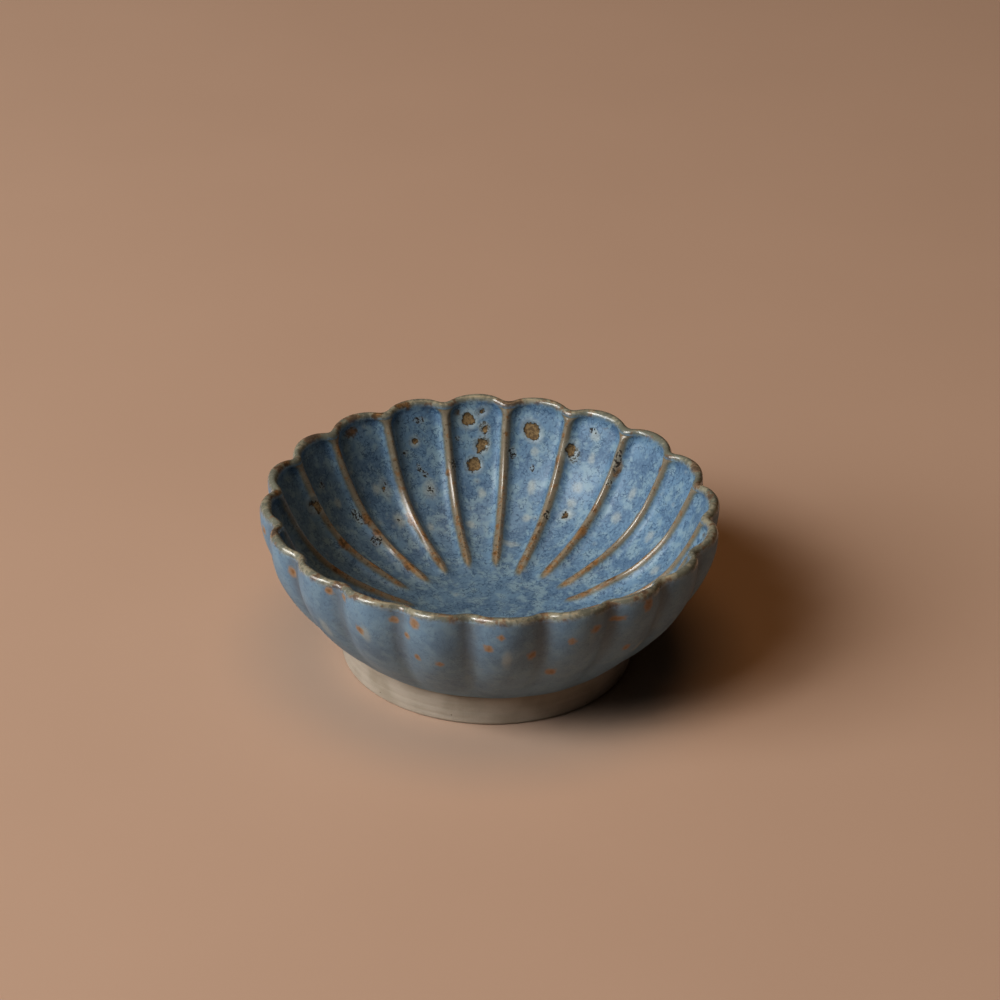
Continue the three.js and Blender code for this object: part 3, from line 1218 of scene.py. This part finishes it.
@dataclass
class GlazeCoat:
    """The glaze, a thin closed shell over the well, the rim and the outside."""

    bowl: Bowl
    finish: BlueGlaze
    crawl_depth: float = 0.24 * MM
    crawl_edge: tuple[float, float] = (-0.15, 0.30)  # where the hollow sets in, millimetres
    crawl_lip: float = 0.07 * MM
    lip_place: float = 0.35  # how far outside a bare place its lip lies, millimetres
    lip_width: float = 0.28  # millimetres
    field_limit: float = 1.5  # how far from a bare place its distance is kept, millimetres
    mark_depth: float = 2.5 * MM  # how far through the wall a mark reaches
    mark_fade: tuple[float, float] = (0.2, 1.5)  # where it fades, if its edge is at 1
    well_rim: int = 4  # rows of the rim that a mark in the well may be on
    outside_rim: int = 6  # rows of the rim before those that a mark outside may be on
    wide_steps: tuple[tuple[int, int], ...] = ((10, 8), (20, 4), (40, 2))  # rows below, and their step
    back_depth: float = 0.45 * MM
    back_step: int = 4

    def build(self) -> bpy.types.Object:
        """Build and dress the glaze.

        Returns:
            The piece.
        """
        skin = self.bowl.skin()
        fields = {mark.value: self._marked(skin, mark) for mark in Mark}
        fields |= {"thin": skin.thin, "rim": skin.rim, "groove": skin.groove, "inside": skin.inside}
        points = skin.points + normals(skin.points) * self._crawled(fields["bare"])[..., None]
        cuts = [(0, slice(1))]
        cuts += [(row, slice(None, None, self._step(row))) for row in range(1, len(points))]
        rings = [Ring(points[cut], {key: value[cut] for key, value in fields.items()}) for cut in cuts]
        rings += self._back(list(fields))
        piece = lathe("glaze_skin", rings)
        piece.data.materials.append(self.finish.material())
        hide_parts("glaze_coat")
        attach(piece, "root")
        return piece

    def _step(self, row: int) -> int:
        """How many columns a row's step spans: more towards the middle of the floor."""
        return next((step for limit, step in self.wide_steps if row < limit), 1)

    def _back(self, names: list[str]) -> list[Ring]:
        """Rings of the glaze's back, against the clay, from the glaze line to the middle."""
        points = self.bowl.sunk(self.back_depth)
        last = len(points) - 1
        rows = [last, last - 1, *range(last - 4, self.back_step, -self.back_step)]
        rings = []
        for index, row in enumerate(rows):
            step = min(2**index, self.back_step)
            chosen = points[row, ::step]
            rings.append(Ring(chosen, {name: np.zeros(len(chosen)) for name in names}))
        rings.append(Ring(points[0, :1], {name: np.zeros(1) for name in names}))
        return rings

    def _crawled(self, bare: Array) -> Array:
        """How far the surface rises or sinks at a bare place: a lip, and the hollow inside it."""
        hollow = smoothstep(bare, *self.crawl_edge)
        lip = np.exp(-(((bare + self.lip_place) / self.lip_width) ** 2))
        return self.crawl_lip * lip - self.crawl_depth * hollow

    def _marked(self, skin: Skin, mark: Mark) -> Array:
        """Field of one kind of mark over the surface.

        Args:
            skin: The surface.
            mark: The kind.

        Returns:
            Millimetres into the nearest mark for bare places, and otherwise from 0 to 1.
        """
        bare = mark is Mark.BARE
        field = np.full(skin.thin.shape, -self.field_limit if bare else 0.0)
        for spot in SPOTS:
            if spot.mark is not mark:
                continue
            span, depth = self._reached(skin, spot)
            if bare:
                field = np.maximum(field, (1.0 - span) * depth / MM)
            else:
                field = np.maximum(field, 1.0 - smoothstep(span, *self.mark_fade))
        return field

    def _reached(self, skin: Skin, spot: Spot) -> tuple[Array, float]:
        """How far each point is from a mark's middle.

        Args:
            skin: The surface.
            spot: The mark.

        Returns:
            The distance, 1 at the mark's edge, and the mark's smaller half width.
        """
        points = skin.points
        well = self.bowl.well_rows
        angle = spot.petal * 2.0 * math.pi / PETALS
        turned = np.abs(np.angle(np.exp(1j * (np.arctan2(points[..., 1], points[..., 0]) - angle))))
        radius = np.hypot(points[..., 0], points[..., 1])
        rows = np.arange(len(points))[:, None]
        if spot.side is Side.WELL:
            miss, other_side = radius - spot.place, rows > well + self.well_rim
        else:
            miss, other_side = points[..., 2] - spot.place, rows < well + self.outside_rim
        miss = np.abs(miss) + FAR * other_side + turned * radius
        row, column = np.unravel_index(np.argmin(miss), miss.shape)
        middle = points[row, column]
        up = points[row + 2, column] - points[row - 2, column]
        up = up * np.sign(up[2]) / np.linalg.norm(up)
        side = np.array((-math.sin(angle), math.cos(angle), 0.0))
        square = np.cross(side, up)
        lean = math.radians(spot.lean)
        away = points - middle
        upward, sideways = away @ up, away @ side
        long = upward * math.cos(lean) + sideways * math.sin(lean)
        wide = sideways * math.cos(lean) - upward * math.sin(lean)
        parts = (long * 2.0 / spot.long, wide * 2.0 / spot.wide, away @ square / self.mark_depth)
        return np.sqrt(sum(part**2 for part in parts)), min(spot.wide, spot.long) / 2.0


@dataclass
class ClayBowl:
    """The fired clay under the glaze, with the wheel's spiral on its bare underside."""

    bowl: Bowl
    finish: BareStoneware
    step: int = 2
    row_step: int = 2
    spiral_rows: int = 56
    spiral_depth: float = 0.09 * MM
    spiral_turn: float = 2.6 * MM  # distance from one groove of the spiral to the next
    spiral_start: float = 3.0 * MM  # how far from the middle the spiral is whole
    spiral_end: float = 2.0 * MM  # how far from the foot it begins to fade
    clearance: float = 0.02 * MM

    def build(self) -> bpy.types.Object:
        """Build and dress the clay bowl.

        Returns:
            The piece.
        """
        shape = self.bowl.shape
        points = self.bowl.sunk(shape.glaze + shape.hairline + self.clearance)
        rings = [Ring(points[0, :1], {})]
        rows = list(range(self.row_step, len(points), self.row_step))
        if rows[-1] != len(points) - 1:
            rows.append(len(points) - 1)
        rings += [Ring(points[row, :: self.step], {}) for row in rows]
        rings += self._underside(len(rings[-1].points))
        piece = lathe("clay_core", rings)
        piece.data.materials.append(self.finish.material())
        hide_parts("clay_bowl")
        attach(piece, "root")
        return piece

    def _underside(self, columns: int) -> list[Ring]:
        """Rings of the flat underside inside the foot, from the outside in."""
        shape = self.bowl.shape
        inner = shape.foot_radius - shape.foot_width
        angle = self.bowl.angle[:: self.step]
        rings = []
        for share in np.linspace(1.0, 0.0, self.spiral_rows, endpoint=False):
            radius = inner * share
            turns = radius / self.spiral_turn + angle / (2.0 * math.pi)
            fade = smoothstep(radius, 0.0, self.spiral_start)
            fade = fade * smoothstep(inner - radius, 0.0, self.spiral_end)
            groove = self.spiral_depth * (1.0 - np.cos(2.0 * math.pi * turns)) * fade
            height = shape.recess_depth + groove
            ring = np.stack((radius * np.cos(angle), radius * np.sin(angle), height), axis=-1)
            rings.append(Ring(ring, {}))
        rings.append(Ring(np.array([[0.0, 0.0, shape.recess_depth]]), {}))
        return rings


@dataclass
class FootRing:
    """The bare foot, with softly broken edges and faint wheel lines."""

    shape: BowlShape
    hand: HandMarks
    finish: BareStoneware
    columns: int = 384
    edge: float = 0.55 * MM
    edge_rows: int = 6
    side_rows: int = 22
    face_rows: int = 10
    line_depth: float = 0.022 * MM
    ripple_size: float = 7.0 * MM
    ripple_share: float = 0.6  # how strong the ripples are beside those of the bowl
    edge_give: float = 0.3  # how uneven the broken edges may be, 1 for as much as the sides
    seat_fade: float = 0.2  # part of a side over which it evens out towards the bowl

    def build(self) -> bpy.types.Object:
        """Build and dress the foot.

        Returns:
            The piece.
        """
        angle = np.arange(self.columns) * 2.0 * math.pi / self.columns
        draw = np.random.default_rng(SEED + 1)
        rings = []
        for radius, height, give in self._outline():
            line = self.line_depth * draw.normal() * give
            level = np.full(self.columns, height)
            points = np.stack((radius * np.cos(angle), radius * np.sin(angle), level), axis=-1)
            uneven = self.hand.rippled(points, self.ripple_size) * self.ripple_share * give
            side = 1.0 if radius > self.shape.foot_radius - self.shape.foot_width / 2.0 else -1.0
            points[:, 0] += (line + uneven) * side * np.cos(angle)
            points[:, 1] += (line + uneven) * side * np.sin(angle)
            rings.append(Ring(points, {}))
        piece = lathe("foot_base", rings, looped=True)
        piece.data.materials.append(self.finish.material())
        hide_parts("foot_ring")
        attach(piece, "root")
        return piece

    def _outline(self) -> list[tuple[float, float, float]]:
        """Section of the foot, from the top of its outside down, under and up to the recess.

        Returns:
            Radius, height, and how much the surface may be uneven there.
        """
        outer, inner = self.shape.foot_radius, self.shape.foot_radius - self.shape.foot_width
        edge, top, recess = self.edge, self.shape.foot_height, self.shape.recess_depth
        give, fade = self.edge_give, self.seat_fade
        turns = np.linspace(0.0, math.pi / 2.0, self.edge_rows)[1:]
        shares = np.linspace(0.0, 1.0, self.side_rows)
        rows = []
        for share in shares:
            rows.append((outer, blended(top, edge, share), smoothstep(share, 0.0, fade)))
        for turn in turns:
            rows.append((outer - edge * (1.0 - math.cos(turn)), edge * (1.0 - math.sin(turn)), give))
        for share in np.linspace(0.0, 1.0, self.face_rows)[1:]:
            rows.append((blended(outer - edge, inner + edge, share), 0.0, 0.0))
        for turn in turns:
            rows.append((inner + edge * (1.0 - math.sin(turn)), edge * (1.0 - math.cos(turn)), give))
        for share in shares[1:]:
            rows.append((inner, blended(edge, recess, share), smoothstep(1.0 - share, 0.0, fade)))
        return rows


@dataclass
class Tabletop:
    """The plain pale floor that the dish stands on."""

    finish: PlainPaper
    reach: float = 3.0

    def build(self) -> bpy.types.Object:
        """Build and dress the floor.

        Returns:
            The floor, which is no part of the dish.
        """
        signs = ((-1, -1), (1, -1), (1, 1), (-1, 1))
        corners = [(x * self.reach, y * self.reach, 0.0) for x, y in signs]
        mesh = bpy.data.meshes.new("tabletop")
        mesh.from_pydata(corners, [], [(0, 1, 2, 3)])
        mesh.materials.append(self.finish.material())
        floor = bpy.data.objects.new("tabletop", mesh)
        bpy.context.scene.collection.objects.link(floor)
        return floor


@dataclass(frozen=True)
class Lamp:
    """A soft rectangular light."""

    name: str
    place: Place
    aim: Place
    power: float  # watts
    size: tuple[float, float]
    colour: Colour = (1.0, 1.0, 1.0)


@dataclass
class Studio:
    """Soft daylight from the left, and the camera at the photograph's viewing angle."""

    aim: Place = (7.136 * MM, 58.496 * MM, 0.0)
    azimuth: float = -5.244  # degrees, like the next two angles
    elevation: float = 29.622
    roll: float = 1.755
    distance: float = 725.48 * MM
    lens: float = 121.69
    sensor: float = 36.0
    gamma: float = 0.80  # below 1 for the photograph's deep shadows
    sky: Colour = (1.0, 0.56, 0.22)
    sky_strength: float = 0.004
    lamps: tuple[Lamp, ...] = (
        Lamp("daylight", (-1.300, -0.345, 0.870), (0.0, 1.40, 0.0), 19.6, (1.0, 0.8)),
        Lamp("high_daylight", (-0.920, -0.660, 1.150), (0.10, 0.50, 0.0), 12.0, (0.6, 0.6)),
        Lamp("ceiling", (0.0, 0.0, 1.400), (0.0, 0.0, 0.0), 4.2, (0.8, 0.8), (1.0, 0.60, 0.28)),
    )

    def build(self) -> None:
        """Set up the lights, the surroundings and the camera."""
        tone = bpy.context.scene.view_settings
        tone.view_transform = "Standard"
        tone.gamma = self.gamma
        for lamp in self.lamps:
            self._hang(lamp)
        self._surroundings()
        self._camera()

    def _hang(self, lamp: Lamp) -> None:
        """Hang a soft light."""
        light = bpy.data.lights.new(lamp.name, "AREA")
        light.shape = "RECTANGLE"
        light.size, light.size_y = lamp.size
        light.energy = lamp.power
        light.color = lamp.colour
        holder = bpy.data.objects.new(lamp.name, light)
        holder.location = lamp.place
        facing = Vector(lamp.aim) - Vector(lamp.place)
        holder.rotation_euler = facing.to_track_quat("-Z", "Y").to_euler()
        bpy.context.scene.collection.objects.link(holder)

    def _surroundings(self) -> None:
        """Give the scene a dim, even sky."""
        world = bpy.data.worlds.new("room")
        world.use_nodes = True
        sky = world.node_tree.nodes["Background"]
        sky.inputs["Color"].default_value = (*self.sky, 1.0)
        sky.inputs["Strength"].default_value = self.sky_strength
        bpy.context.scene.world = world

    def _camera(self) -> None:
        """Put the camera where the photograph was taken from."""
        turn, tilt = math.radians(self.azimuth), math.radians(self.elevation)
        flat = math.cos(tilt)
        away = Vector((math.sin(turn) * flat, -math.cos(turn) * flat, math.sin(tilt)))
        data = bpy.data.cameras.new("camera")
        data.lens = self.lens
        data.sensor_width = self.sensor
        camera = bpy.data.objects.new("camera", data)
        facing = away.to_track_quat("Z", "Y").to_matrix().to_4x4()
        spot = Matrix.Translation(Vector(self.aim) + away * self.distance)
        camera.matrix_world = spot @ facing @ Matrix.Rotation(math.radians(self.roll), 4, "Z")
        bpy.context.scene.collection.objects.link(camera)
        bpy.context.scene.camera = camera


def main() -> None:
    """Build the studio and the dish, and report each piece."""
    logging.basicConfig(level=logging.INFO, format="%(name)s: %(message)s")
    Studio().build()
    shape, hand = BowlShape.from_frame(), HandMarks()
    bowl = Bowl(shape, hand)
    clay = BareStoneware("fired_clay", body=(0.420, 0.350, 0.270), shade=(0.300, 0.240, 0.175))
    foot = BareStoneware("foot_clay", body=(0.470, 0.425, 0.360), shade=(0.385, 0.340, 0.275))
    makers = (
        Tabletop(PlainPaper()),
        ClayBowl(bowl, clay),
        FootRing(shape, hand, foot),
        GlazeCoat(bowl, BlueGlaze()),
    )
    for maker in makers:
        piece = maker.build()
        log.info("%s: %d faces", piece.name, len(piece.data.polygons))


if __name__ == "__main__":
    main()
